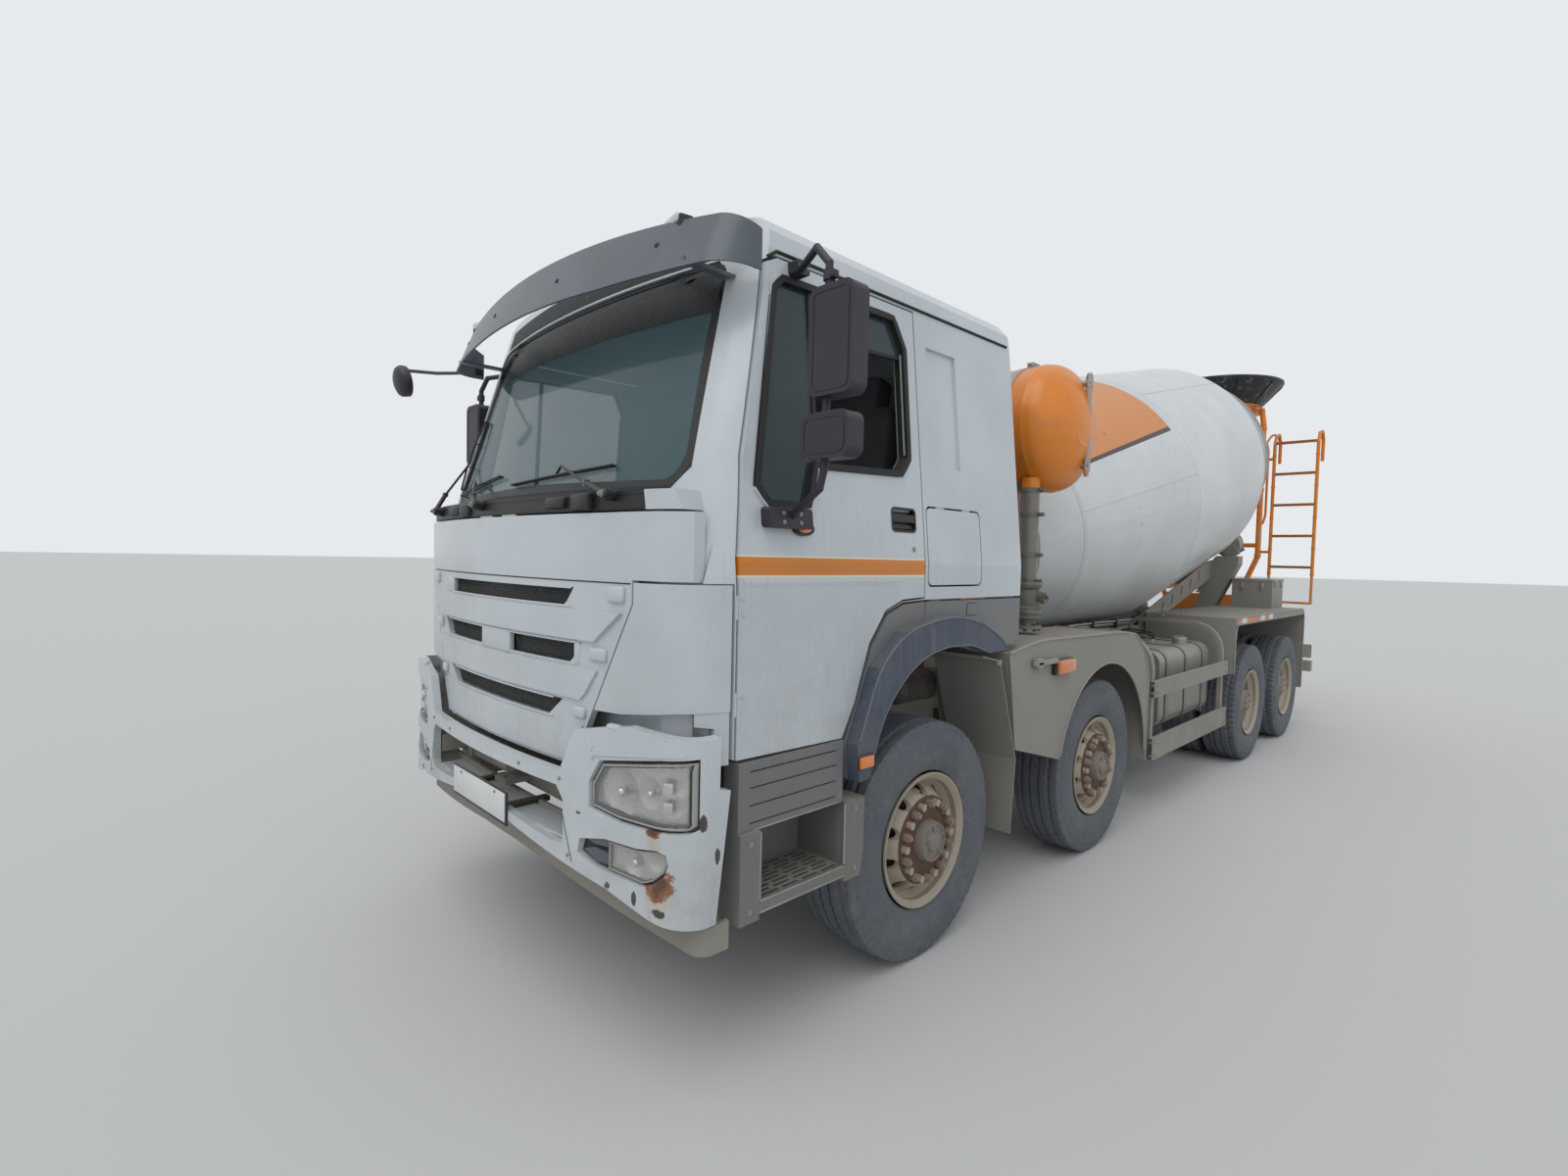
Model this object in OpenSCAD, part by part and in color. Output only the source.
// Concrete mixer truck with four axles and its cab over the engine.
// Millimetres. X points to the truck's left, Y to its rear and Z up. Stations along Y are measured
// from the bumper's face, and place() sets the origin on the ground at the middle of the length.

/* [Truck] */
// Station of the first steered axle
axle1_y = 1519; // [1505:1:1535]
// Distance between the two steered axles
steer_gap = 1800; // [1780:10:1840]
// Distance from the second steered axle to the first driven one
wheelbase = 3250; // [3200:10:3350]
// Distance between the two driven axles
drive_gap = 1350; // [1330:10:1400]

/* [Wheels] */
// Outer radius of every tyre
tyre_r = 529; // [515:1:532]
// Width of one tyre
tyre_w = 302; // [285:1:306]
// Radius of the rim's flange
rim_r = 297; // [290:1:300]
// Outer face of the steered tyres, from the middle
steer_face_x = 1162; // [1155:1:1168]
// Outer face of the driven tyres, from the middle
drive_face_x = 1226; // [1215:1:1230]
// Gap between the two tyres of a pair
twin_gap = 38; // [30:1:46]
// Distance of the kingpins from the middle
kingpin_x = 930; // [922:1:934]
// Radius of the kingpins
kingpin_r = 25; // [22:1:28]
// Radius of the stub axles' bores in the hubs
hub_bore_r = 48; // [42:1:52]
// Radial clearance of a pin in its bore
run_fit = 0.05; // [0.02:0.01:0.09]

/* [Cab] */
// Half width of the cab at its doors
cab_x = 1178; // [1165:1:1185]
// Half width of the cab under its roof
roof_x = 1070; // [1055:1:1080]
// Station of the cab's front in the middle
cab_front_y = 62; // [58:1:70]
// Radius of the front's curve, seen from above
front_curve_r = 5200; // [4900:50:5600]
// Radius of the front corners
corner_r = 250; // [240:1:255]
// Station of the cab's back wall
cab_back_y = 2235; // [2210:5:2250]
// Thickness of the cab's walls and doors
wall_t = 45; // [38:1:50]
// Height of the windscreen's lower edge
screen_low_z = 1990; // [1980:1:2000]
// Height where the sides start to lean in
lean_z = 1750; // [1740:1:1760]
// Height of the roof gutter
gutter_z = 2850; // [2835:1:2865]
// Height of the roof
roof_z = 3010; // [2995:1:3025]
// Lean of the windscreen from upright, in degrees
rake = 17; // [16:0.5:18]
// Gap between a door, lid or panel and its frame
panel_gap = 8; // [7:0.5:10]
// Thickness of the glass
glass_t = 6; // [5:1:8]

/* [Frame] */
// Outer half width of the frame rails
rail_x = 430; // [425:1:435]
// Height of the frame rails' upper face
rail_top_z = 1040; // [1034:1:1046]
// Height of a frame rail
rail_h = 300; // [290:5:310]
// Thickness of the frame rails' sheet
rail_t = 12; // [10:1:16]
// Height of the mixer's own subframe above the rails
subframe_h = 180; // [170:5:190]
// Length of the frame behind the drum's mouth
frame_over = 252; // [240:1:260]

/* [Drum] */
// Station of the middle of the drum's front plate
drum_y = 3489; // [3480:1:3495]
// Height of the middle of the drum's front plate
drum_z = 1904; // [1900:1:1912]
// Slope of the drum's axis, in degrees
drum_tilt = 12.9; // [12.8:0.1:13]
// Largest radius of the drum
drum_r = 1100; // [1090:1:1104]
// Radius of the drum's front plate
nose_r = 650; // [640:1:660]
// Radius of the drum's mouth
mouth_r = 600; // [590:1:606]
// Length of the drum along its axis
drum_l = 5600; // [5500:5:5700]
// Thickness of the drum's shell
drum_t = 14; // [10:1:18]
// Distance of the track ring from the mouth, along the axis
ring_back = 1050; // [1040:1:1060]
// Outer radius of the track ring
ring_r = 950; // [945:1:955]
// Radius of the two rollers under the ring
roller_r = 130; // [125:1:135]

/* [Hopper and chute] */
// Radius of the feed hopper's rim
hopper_r = 760; // [740:5:775]
// Height of the feed hopper's rim above the middle of the drum's mouth
hopper_over = 896; // [885:1:905]
// Distance from the drum's mouth back to the chute's swivel
chute_back = 557; // [550:1:565]
// Length of the main chute
chute_l = 1080; // [1060:10:1100]
// Radius of the chutes' troughs
chute_r = 215; // [210:1:220]
// Slope of the main chute at rest, in degrees
chute_slope = 14; // [10:1:16]
// Thickness of the chutes' sheet
sheet_t = 6; // [5:1:8]

/* [Hidden] */
$fn = 64;

axle2_y = axle1_y + steer_gap;
axle3_y = axle2_y + wheelbase;
axle4_y = axle3_y + drive_gap;
steer_axles = [axle1_y, axle2_y];
drive_axles = [axle3_y, axle4_y];
seat_gap = 0.3;
mouth_y = round(drum_y + drum_l * cos(drum_tilt));
mouth_z = round(drum_z + drum_l * sin(drum_tilt));
ring_s = drum_l - ring_back;
frame_end_y = mouth_y + frame_over;
chute_y = mouth_y + chute_back;
hopper_y = mouth_y + 402;
hopper_z = mouth_z + hopper_over;
truck_l = hopper_y + hopper_r;
rail_low_z = rail_top_z - rail_h;
subframe_z = rail_top_z + subframe_h;

white = [0.88, 0.9, 0.9];
orange = [0.86, 0.42, 0.1];
dark_grey = [0.2, 0.21, 0.24];
frame_grey = [0.6, 0.59, 0.55];
rim_tan = [0.66, 0.6, 0.5];
tyre_black = [0.13, 0.13, 0.14];
tint = [0.35, 0.5, 0.52, 0.5];

// Helpers

module both_sides() {
    children();
    mirror([1, 0, 0]) children();
}

// A box between two corners
module block(low, high) {
    translate(low) cube(high - low);
}

// A side view outline, drawn as [y, z], made solid from x0 to x1
module side_solid(x0, x1) {
    translate([x0, 0, 0]) rotate([90, 0, 90]) linear_extrude(x1 - x0) children();
}

// A front view outline, drawn as [x, z], made solid from y0 to y1
module front_solid(y0, y1) {
    translate([0, y1, 0]) rotate([90, 0, 0]) linear_extrude(y1 - y0) children();
}

// A round bar between two points
module bar(p, q, r) {
    d = q - p;
    l = norm(d);
    translate(p) rotate([0, acos(d[2] / l), atan2(d[1], d[0])]) cylinder(h = l, r = r, $fn = 24);
}

// A bent bar through a list of points
module bent_bar(points, r) {
    for (i = [0 : len(points) - 2]) bar(points[i], points[i + 1], r);
    for (i = [1 : len(points) - 2]) translate(points[i]) sphere(r = r + 0.6, $fn = 24);
}

// A cylinder along X
module x_cylinder(x0, x1, y, z, r) {
    translate([x0, y, z]) rotate([0, 90, 0]) cylinder(h = x1 - x0, r = r);
}

// A flat rectangle with round corners, about its middle
module round_rect(w, h, r) {
    square([w - 2 * r, h], center = true);
    square([w, h - 2 * r], center = true);
    for (sx = [-1, 1], sy = [-1, 1]) translate([sx * (w / 2 - r), sy * (h / 2 - r)]) circle(r);
}

// The outline of a bent sheet of thickness t along a path, on the left of its direction
function way(a, b) = (b - a) / norm(b - a);
function bend(p, i) = way(p[max(i - 1, 0)], p[max(i, 1)]) + way(p[min(i, len(p) - 2)], p[min(i + 1, len(p) - 1)]);
function sheet(p, t) = concat(p, [for (k = [len(p) - 1 : -1 : 0])
    let(b = bend(p, k), n = b / norm(b)) p[k] + t * [-n[1], n[0]]]);

// A half outline, given on the left side as [x, z], made whole
function mirrored(half) = concat(half, [for (k = [len(half) - 1 : -1 : 0]) [-half[k][0], half[k][1]]]);

// The plan of a curved front with round corners, grown outwards by o. Its arcs keep their centres,
// so two plans leave a band of even thickness between them.
module front_plan(o, front_y, curve_r, half_w, end_r, back_y) {
    corner_x = half_w - end_r;
    corner_y = front_y + curve_r - sqrt(pow(curve_r - end_r, 2) - corner_x * corner_x);
    touch_x = corner_x * curve_r / (curve_r - end_r);
    intersection() {
        union() {
            intersection() {
                translate([0, front_y + curve_r]) circle(curve_r + o, $fn = 256);
                translate([-touch_x, front_y - 200]) square([2 * touch_x, 1000]);
            }
            for (s = [-1, 1]) translate([s * corner_x, corner_y]) circle(end_r + o, $fn = 256);
            translate([-half_w - o, corner_y]) square([2 * (half_w + o), back_y]);
        }
        translate([-half_w * 2, front_y - 300]) square([half_w * 4, back_y - front_y + 300]);
    }
}

module cab_plan(o, back_y) {
    front_plan(o, cab_front_y, front_curve_r, cab_x, corner_r, back_y);
}

// An upright band of the cab's front, t thick, whose face stands o before the cab's
module front_band(o, t, back_y) {
    difference() {
        linear_extrude(roof_z) cab_plan(o, back_y);
        translate([0, 0, -1]) linear_extrude(roof_z + 2) cab_plan(o - t, back_y + 50);
    }
}

// Cab

cab_low_z = 1100;
quarter_low_z = 1600;
screen_foot_y = cab_front_y + 92;
screen_foot_z = screen_low_z - 55;
roof_front_y = screen_foot_y + tan(rake) * (gutter_z + 20 - screen_foot_z);
screen_top_z = gutter_z - 22;
firewall_y = cab_front_y + 135;
hinge_y = 365;
door_axis = [1174, hinge_y + 4];

function side_at(z) = cab_x - (cab_x - roof_x) * max(0, (z - lean_z) / (gutter_z - lean_z));

// Half of the cab's section across, pulled in by i
function cab_section(i) = [
    [cab_x - i, cab_low_z - 200], [cab_x - i, lean_z], [roof_x - i, gutter_z],
    [roof_x - 12 - i, gutter_z + 60 - i * 0.4], [roof_x - 52 - i, gutter_z + 110 - i * 0.8],
    [roof_x - 150 - i, roof_z - 25 - i], [0, roof_z - i]];

// The cab's section along, pulled in by i
function cab_profile(i) = [
    [firewall_y + i, cab_low_z + i], [firewall_y + i, screen_foot_z - 20 - i],
    [cab_front_y + 60 + i, screen_foot_z - 10 - i], [cab_front_y + 60 + i, screen_foot_z + 40],
    [roof_front_y - 60 + i, roof_z - 90 - i * 0.6], [roof_front_y + 20 + i, roof_z - 45 - i * 0.8],
    [roof_front_y + 150 + i, roof_z - 8 - i], [roof_front_y + 420, roof_z - i],
    [cab_back_y - 130, roof_z - 15 - i], [cab_back_y - 30 - i, roof_z - 50 - i],
    [cab_back_y - i, roof_z - 110 - i], [cab_back_y - i, quarter_low_z + i],
    [axle1_y - 115, quarter_low_z + i], [axle1_y - 260, quarter_low_z - 6 + i],
    [axle1_y - 366, quarter_low_z - 43 + i], [axle1_y - 464, quarter_low_z - 169 + i],
    [axle1_y - 613 - i * 0.5, cab_low_z + i]];

// The outer form of the cab, pulled in by i
module cab_form(i) {
    intersection() {
        front_solid(0, cab_back_y) polygon(mirrored(cab_section(i)));
        linear_extrude(roof_z + 10) cab_plan(-i, cab_back_y);
        translate([0, screen_foot_y, screen_foot_z]) rotate([-rake, 0, 0])
            translate([0, -cab_front_y, -1200]) linear_extrude(3600) cab_plan(-i, cab_back_y + 900);
        side_solid(-cab_x, cab_x) polygon(cab_profile(i));
    }
}

// Outline of a door in side view, pulled in by g
function door_outline(g) = [
    [365 + g, 1088 + g], [365 + g, 1760], [400 + g, 2100], [545 + g, gutter_z - 55 - g],
    [600 + g, gutter_z - 28 - g], [1412 - g, gutter_z - 22 - g], [1412 - g, quarter_low_z + 4 + g],
    [axle1_y - 257 - g, quarter_low_z - 4 + g], [axle1_y - 366 - g, quarter_low_z - 43 + g],
    [axle1_y - 464 - g, quarter_low_z - 169 + g], [axle1_y - 546 - g, 1214],
    [axle1_y - 613 - g, 1080 + g]];

// Outline of a door's window, grown by g
function window_outline(g) = [
    [470 - g, 2010 - g], [520 - g, 1957 - g], [700 + g, 1962 - g], [745 + g, 2112 - g],
    [1262 + g, 2130 - g], [1312 + g, 2190 - g], [1318 + g, 2640 + g], [1256 + g, 2752 + g],
    [630 - g, 2738 + g], [592 - g, 2700 + g]];

// Outline of the windscreen in front view, grown by g
module screen_shape(g) {
    polygon(concat(
        [[-945 - g, screen_low_z - g], [945 + g, screen_low_z - g], [1010 + g, screen_low_z + 70]],
        [[935 + g, screen_top_z - 60], [880 + g, screen_top_z + g], [-880 - g, screen_top_z + g]],
        [[-935 - g, screen_top_z - 60], [-1010 - g, screen_low_z + 70]]));
}

// Locker lid: middle station, middle height, length and height
locker = [1646, 1826, 436, 346];
module locker_shape(g) {
    translate([locker[0], locker[1]]) round_rect(locker[2] - 2 * g, locker[3] - 2 * g, 30);
}

// A slab of the cab's left side that follows its lean, between two depths under the skin
module side_slab(outer, inner, y0, y1) {
    front_solid(y0, y1) polygon([
        [cab_x - outer, 1000], [cab_x - outer, lean_z], [roof_x - outer, gutter_z],
        [roof_x - inner, gutter_z], [cab_x - inner, lean_z], [cab_x - inner, 1000]]);
}

module cab_shell() {
    color(white) difference() {
        union() {
            cab_form(0);
            // corners beside the wiper panel
            both_sides() intersection() {
                front_band(-8, 110, hinge_y - 4);
                front_solid(0, hinge_y - 4) polygon([
                    [wiper_x + seat_gap, mask_top_z + 8], [1085, mask_top_z + 8],
                    [1060, screen_low_z - 12], [wiper_x + seat_gap - 10, screen_low_z - 12]]);
            }
        }
        cab_form(wall_t);
        both_sides() side_solid(cab_x - 190, cab_x + 60) polygon(door_outline(0));
        both_sides() side_solid(cab_x - 190, cab_x + 60) locker_shape(0);
        front_solid(-100, 800) screen_shape(0);
        // seats of the front panels, which lie over the cab's own corners
        intersection() {
            front_band(1, 34, hinge_y - 4);
            union() {
                block([-cab_x - 10, 0, cab_low_z - 20], [cab_x + 10, hinge_y - 4, 1676]);
                block([-mask_top_x - 8, 0, 1670], [mask_top_x + 8, hinge_y - 4, mask_top_z + 6]);
            }
        }
        // pressed panel in each rear quarter
        both_sides() front_solid(1490, 1720) polygon([
            [cab_x + 5, 2150], [side_at(2170) - 14, 2180], [side_at(2690) - 14, 2690], [cab_x + 5, 2705]]);
    }
}

module corner_panels() {
    color(white) both_sides() {
        intersection() {
            front_band(0, 28, hinge_y - 16);
            front_solid(0, hinge_y - 16) polygon([
                [mask_x(1672) + panel_gap, 1672], [mask_x(1601) + panel_gap, 1600], [mask_x(1480) + panel_gap, 1480],
                [mask_x(1223) + panel_gap, 1223], [856, 1228], [1080, 1257], [cab_x + 10, 1262],
                [cab_x + 10, 1672]]);
        }
        // side piece behind the bumper's end
        intersection() {
            front_band(-4, 16, hinge_y - 16);
            side_solid(cab_x - 60, cab_x + 10) polygon([
                [300, 1085], [300, 1208], [226, 1218], [226, 1275], [hinge_y - 16, 1275], [hinge_y - 16, 1085]]);
        }
        // bracket that carries the panel on the cab's front wall
        block([900, cab_front_y + 110, 1400], [940, firewall_y - seat_gap, 1460]);
    }
}

// Half width of the mask at a height
mask_low_z = 1008;
mask_top_z = 1905;
mask_top_x = cab_x - 62;
mask_axis = [cab_front_y + 12, mask_top_z + panel_gap / 2];
function mask_x(z) = z > 1600 ? 905 : 600 + (z - 1000) * (905 - 600) / 600;

// Openings and stepped blades: low height, high height, half widths at low and high, step out
mask_slots = [[1575, 1645, 560, 600], [1372, 1452, 600, 650], [1165, 1238, 470, 540]];
mask_blades = [[1462, 1568, 770, 880, 14], [1250, 1362, 690, 760, 10], [1020, 1158, 605, 680, 6]];

module front_mask() {
    color(white) {
        difference() {
            intersection() {
                front_band(0, 26, 330);
                union() {
                    front_solid(0, 330) polygon(mirrored([
                        [mask_x(mask_low_z), mask_low_z], [905, 1600], [905, 1690]]));
                    front_solid(0, 330) polygon(mirrored([[mask_top_x, 1680], [mask_top_x, mask_top_z]]));
                }
            }
            for (m = mask_slots) front_solid(-50, 300) polygon(mirrored([
                [m[2] - 25, m[0]], [m[2], m[0] + 20], [m[3], m[1]]]));
        }
        for (m = mask_blades) intersection() {
            front_band(m[4], m[4] + 20, 330);
            front_solid(-50, 300) polygon(mirrored([
                [m[2] - 40, m[0]], [m[2] - 10, m[0] + 25], [m[3] - 16, m[1]]]));
        }
        // hinge barrels on the top edge
        for (x = [-110, 110]) translate([x, mask_axis[0], mask_axis[1]]) {
            rotate([0, 90, 0]) barrel(120);
            block([-60, 14, -14], [60, 17, 0]);
            block([-60, 0, -3], [60, 17, 0]);
        }
        // grille sheet behind the openings
        intersection() {
            front_band(-26, 8, 330);
            front_solid(0, 300) polygon(mirrored([[560, 1130], [700, 1400], [700, 1662]]));
        }
    }
}

// Black panel that carries the wipers, between the cab's white corners
wiper_x = 955;
module wiper_panel() {
    color([0.08, 0.08, 0.09]) {
        intersection() {
            front_band(-8, 60, 284);
            front_solid(0, 420) polygon(mirrored([[wiper_x, mask_top_z + 8], [wiper_x - 10, screen_low_z - 12]]));
        }
    }
}

module windscreen() {
    color(tint) intersection() {
        difference() {
            cab_form(12);
            cab_form(12 + glass_t);
        }
        front_solid(-100, roof_front_y + 40) screen_shape(-seat_gap);
    }
}

module door_panel() {
    difference() {
        intersection() {
            side_slab(0, wall_t, 300, 1500);
            side_solid(900, cab_x + 10) polygon(door_outline(panel_gap));
        }
        side_solid(900, cab_x + 50) polygon(window_outline(0));
        side_solid(side_at(1930) - 24, cab_x + 50) translate([1270, 1930]) round_rect(156, 92, 16);
    }
    // hinge barrels on the front edge
    for (z = [1280, 1600]) translate([door_axis[0], door_axis[1], z]) {
        barrel(80);
        block([-1.5, 0, -40], [1.5, 12, 40]);
    }
    // handle bar across its recess
    intersection() {
        side_slab(1, 12, 300, 1500);
        side_solid(1000, cab_x + 10) translate([1270, 1936]) square([170, 26], center = true);
    }
    // rubber frame of the window
    intersection() {
        side_slab(-7, 2, 300, 1500);
        difference() {
            side_solid(900, cab_x + 50) polygon(window_outline(22));
            side_solid(900, cab_x + 50) polygon(window_outline(0));
        }
    }
}

module door_left() {
    color(white) door_panel();
}
module door_right() {
    color(white) mirror([1, 0, 0]) door_panel();
}

module door_glass() {
    intersection() {
        side_slab(14, 14 + glass_t, 300, 1500);
        side_solid(900, cab_x + 50) polygon(window_outline(-seat_gap));
    }
}
// The left window is wound down behind its fixed front pane
module door_glass_left() {
    color(tint) difference() {
        door_glass();
        side_solid(900, cab_x + 50) polygon([[770, 2100], [1330, 2100], [1330, 2600], [770, 2570]]);
    }
}
module door_glass_right() {
    color(tint) mirror([1, 0, 0]) door_glass();
}

module locker_lid() {
    intersection() {
        side_slab(0, wall_t, 1300, 2000);
        side_solid(900, cab_x + 10) locker_shape(panel_gap);
    }
    for (y = [1540, 1750]) translate([locker_axis[0], y, locker_axis[1]]) {
        rotate([90, 0, 0]) barrel(60);
        block([-1.5, -30, -12], [1.5, 30, 0]);
    }
}
// Hinge barrel with its leaf, for a panel that hangs or swings in a gap
module barrel(l) {
    translate([0, 0, -l / 2]) cylinder(h = l, r = panel_gap / 2 - seat_gap, $fn = 24);
}
locker_axis = [1150, 1999 - panel_gap / 2];
module locker_lid_left() {
    color(white) locker_lid();
}
module locker_lid_right() {
    color(white) mirror([1, 0, 0]) locker_lid();
}

// Mirrors of a door: two glasses on a bent arm between two brackets
mirror_x = 1418;
mirror_y = 560;
module mirror_case(w, h) {
    difference() {
        front_solid(-44, 32) round_rect(w, h, 34);
        front_solid(25, 40) round_rect(w - 24, h - 24, 24);
    }
}
module mirror_set() {
    // brackets, seated on the door's skin
    intersection() {
        side_slab(-50, -seat_gap, 300, 900);
        side_solid(900, 1300) {
            translate([575, 1900]) round_rect(200, 70, 14);
            translate([690, 2792]) round_rect(60, 50, 10);
        }
    }
    bent_bar([[side_at(1900) + 30, mirror_y + 20, 1900], [mirror_x - 60, mirror_y - 10, 1990],
        [mirror_x - 40, mirror_y - 10, 2060], [mirror_x - 40, mirror_y - 10, 2700],
        [mirror_x - 105, mirror_y, 2768], [side_at(2786) + 30, 690, 2786]], 13);
    translate([mirror_x, mirror_y, 2448]) mirror_case(185, 343);
    translate([mirror_x - 16, mirror_y - 4, 2153]) mirror_case(205, 145);
}
module mirror_left() {
    color(dark_grey) mirror_set();
}
module mirror_right() {
    color(dark_grey) mirror([1, 0, 0]) mirror_set();
}

// Dark plastic round the first wheel's arch, with a raised lip
arch_front = [[906, 1075], [973, 1214], [1055, 1431], [1153, 1557], [1262, 1596], [1416, 1604]];
arch_edge = [[1804, 1359], [1709, 1388], [1531, 1397], [1368, 1374], [1219, 1302], [1099, 1183],
    [1035, 1062], [992, 930]];
arch_lip = [[1040, 1349], [1201, 1480], [1449, 1526], [1597, 1527], [1781, 1495], [1959, 1411],
    [2028, 1345]];
function from_axle1(list) = [for (p = list) [p[0] - 1519 + axle1_y, p[1]]];
module arch_trims() {
    color([0.3, 0.32, 0.36]) both_sides() {
        side_solid(cab_x - 40, cab_x) polygon(concat(
            [for (p = from_axle1(arch_front)) [p[0] + 6, p[1] - 12]],
            [[cab_back_y, quarter_low_z - 12], [cab_back_y, 1362], [axle1_y + 500, 1360], [axle1_y + 330, 1345]],
            from_axle1(arch_edge), [[axle1_y - 584, 925]]));
        side_solid(cab_x - 40, cab_x + 62) polygon(concat(
            [[axle1_y - 592, 960], [axle1_y - 600, 1070]], from_axle1(arch_lip),
            [[axle1_y + 470, 1350], [axle1_y + 330, 1345]],
            from_axle1(arch_edge), [[axle1_y - 584, 925]]));
        // bracket to the cab's floor
        block([cab_x - 40, axle1_y - 60, quarter_low_z - 60], [cab_x - 10, axle1_y + 20, quarter_low_z - seat_gap]);
    }
}

// Visor over the windscreen, on two brackets from the cab
module visor_plan(o) {
    front_plan(o, 0, 4200, 1148, 130, 430);
}
module sun_visor() {
    color([0.28, 0.31, 0.34]) {
        intersection() {
            translate([0, 150, 2730]) rotate([-22, 0, 0]) difference() {
                linear_extrude(230) visor_plan(0);
                translate([0, 0, -1]) linear_extrude(232) visor_plan(-8);
            }
            block([-1200, 0, 2715], [1200, 470, 2960]);
        }
        // brackets to the cab
        difference() {
            both_sides() block([940, 276, 2738], [980, 540, 2750]);
            cab_form(-seat_gap);
        }
        // kerb mirror on its arm, clamped through the right end
        block([-1176, 428, 2738], [-1134, 462, 2766]);
        bent_bar([[-1160, 445, 2752], [-1192, 240, 2716], [-1200, 60, 2700]], 9);
        translate([-1200, 58, 2640]) rotate([-78, 0, 0]) cylinder(h = 34, r = 76);
    }
}

// Fittings inside the cab
module seat(x) {
    translate([x, 0, 0]) {
        block([-240, 1100, quarter_low_z + wall_t + seat_gap], [240, 1560, 1760]);
        block([-250, 1080, 1760], [250, 1600, 1900]);
        translate([0, 1520, 1880]) rotate([-12, 0, 0]) {
            block([-240, 0, 0], [240, 120, 620]);
            block([-140, 10, 600], [140, 110, 800]);
        }
    }
}
module cab_interior() {
    color([0.25, 0.26, 0.28]) {
        intersection() {
            cab_form(wall_t + seat_gap);
            side_solid(-1110, 1110) polygon([[firewall_y, 1500], [firewall_y, 1860], [300, 1864], [560, 1960], [640, 1900], [620, 1700], [460, 1640]]);
        }
        // engine tunnel between the seats
        inner = cab_profile(wall_t + 1);
        side_solid(-330, 330) polygon(concat([inner[0] + [300, 0]],
            [[firewall_y + 350, 1640], [1330, 1700]], [for (k = [12 : 16]) inner[k]]));
        seat(520);
        seat(-520);
        translate([520, 700, 1930]) rotate([35, 0, 0]) difference() {
            cylinder(h = 30, r = 235);
            translate([0, 0, -1]) cylinder(h = 32, r = 210);
        }
        translate([520, 700, 1930]) rotate([35, 0, 0]) {
            block([-225, -20, 5], [225, 20, 25]);
            translate([0, 0, -260]) cylinder(h = 280, r = 30);
        }
    }
}

// Bumper and lamps

bumper_low_z = 752;
bumper_t = 34;
bumper_x = 1200;
module bumper_plan(o, back_y) {
    front_plan(o, 0, front_curve_r, bumper_x, 150, back_y);
}
module bumper_band(o, t, back_y) {
    difference() {
        linear_extrude(1400) bumper_plan(o, back_y);
        translate([0, 0, -1]) linear_extrude(1402) bumper_plan(o - t, back_y + 50);
    }
}
function pod_x(z) = mask_x(z) + 18;
headlamp_hole = [[785, 910], [930, 893], [1180, 898], [1193, 910], [1193, 1132], [1110, 1127], [838, 1080], [785, 1000]];
headlamp_shape = [[795, 917], [930, 902], [1176, 906], [1187, 920], [1187, 1121], [1110, 1116], [846, 1070], [795, 994]];
fog_hole = [[725, 740], [738, 792], [870, 822], [1012, 826], [1100, 840], [1130, 830], [1137, 800], [1127, 764],
    [1084, 727], [1035, 708], [875, 714], [800, 722]];
fog_shape = [[880, 722], [880, 814], [1010, 818], [1095, 832], [1120, 824], [1128, 800], [1119, 770], [1080, 735],
    [1035, 716]];
module bumper() {
    color(white) difference() {
        intersection() {
            bumper_band(0, bumper_t, 340);
            front_solid(-50, 340) polygon(mirrored([
                [0, bumper_low_z], [155, bumper_low_z - 4], [650, 681], [880, 655], [1050, 615], [1240, 580],
                [1240, 1182], [1096, 1205], [970, 1212], [833, 1188], [pod_x(1160), 1160], [pod_x(1000), 1000],
                [0, 1000]]));
            side_solid(-1250, 1250) polygon([[-50, 500], [282, 500], [282, 589], [335, 1012], [290, 1024],
                [294, 1300], [-50, 1300]]);
        }
        front_solid(-60, 120) polygon(mirrored([
            [0, bumper_low_z + 40], [570, 742], [630, 748], [645, 770], [640, 905], [600, 948], [0, 948]]));
        both_sides() front_solid(-60, 260) polygon(headlamp_hole);
        both_sides() front_solid(-60, 220) polygon(fog_hole);
    }
}

// Sheet below the bumper, set back and flatter than it
module valance_plan(o) {
    front_plan(o, 152, 9000, 1190, 60, 345);
}
module bumper_valance() {
    color([0.55, 0.54, 0.5]) {
        intersection() {
            difference() {
                linear_extrude(800) valance_plan(0);
                translate([0, 0, -1]) linear_extrude(802) valance_plan(-14);
            }
            front_solid(0, 345) polygon(mirrored([
                [0, 548], [314, 540], [760, 508], [1240, 480], [1240, 574], [1150, 580], [1130, 690], [1000, 692],
                [880, 770], [0, 770]]));
        }
        // brackets to the beam behind
        both_sides() {
            block([560, 178, 690], [600, 200 - seat_gap, 750]);
            block([560, 189, 690], [600, 200 - seat_gap, 840]);
        }
    }
}

// A lamp's lens, with a flange that seats behind the bumper's skin
module lamp(shape, depth, low, high) {
    intersection() {
        bumper_band(-8, depth, 330);
        front_solid(-50, 260) polygon(shape);
    }
    intersection() {
        bumper_band(-bumper_t - seat_gap, depth - bumper_t + 8, 330);
        front_solid(-50, 255) translate(low) square(high - low);
    }
}
module front_lamps() {
    color([0.8, 0.82, 0.84]) both_sides() {
        lamp(headlamp_shape, 56, [770, 880], [1230, 1150]);
        lamp(fog_shape, 46, [700, 700], [1160, 850]);
        // side marker on the arch's foot
        side_solid(cab_x + 62 + seat_gap, cab_x + 74) translate([axle1_y - 555, 1000]) square([70, 40], center = true);
    }
}

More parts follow.
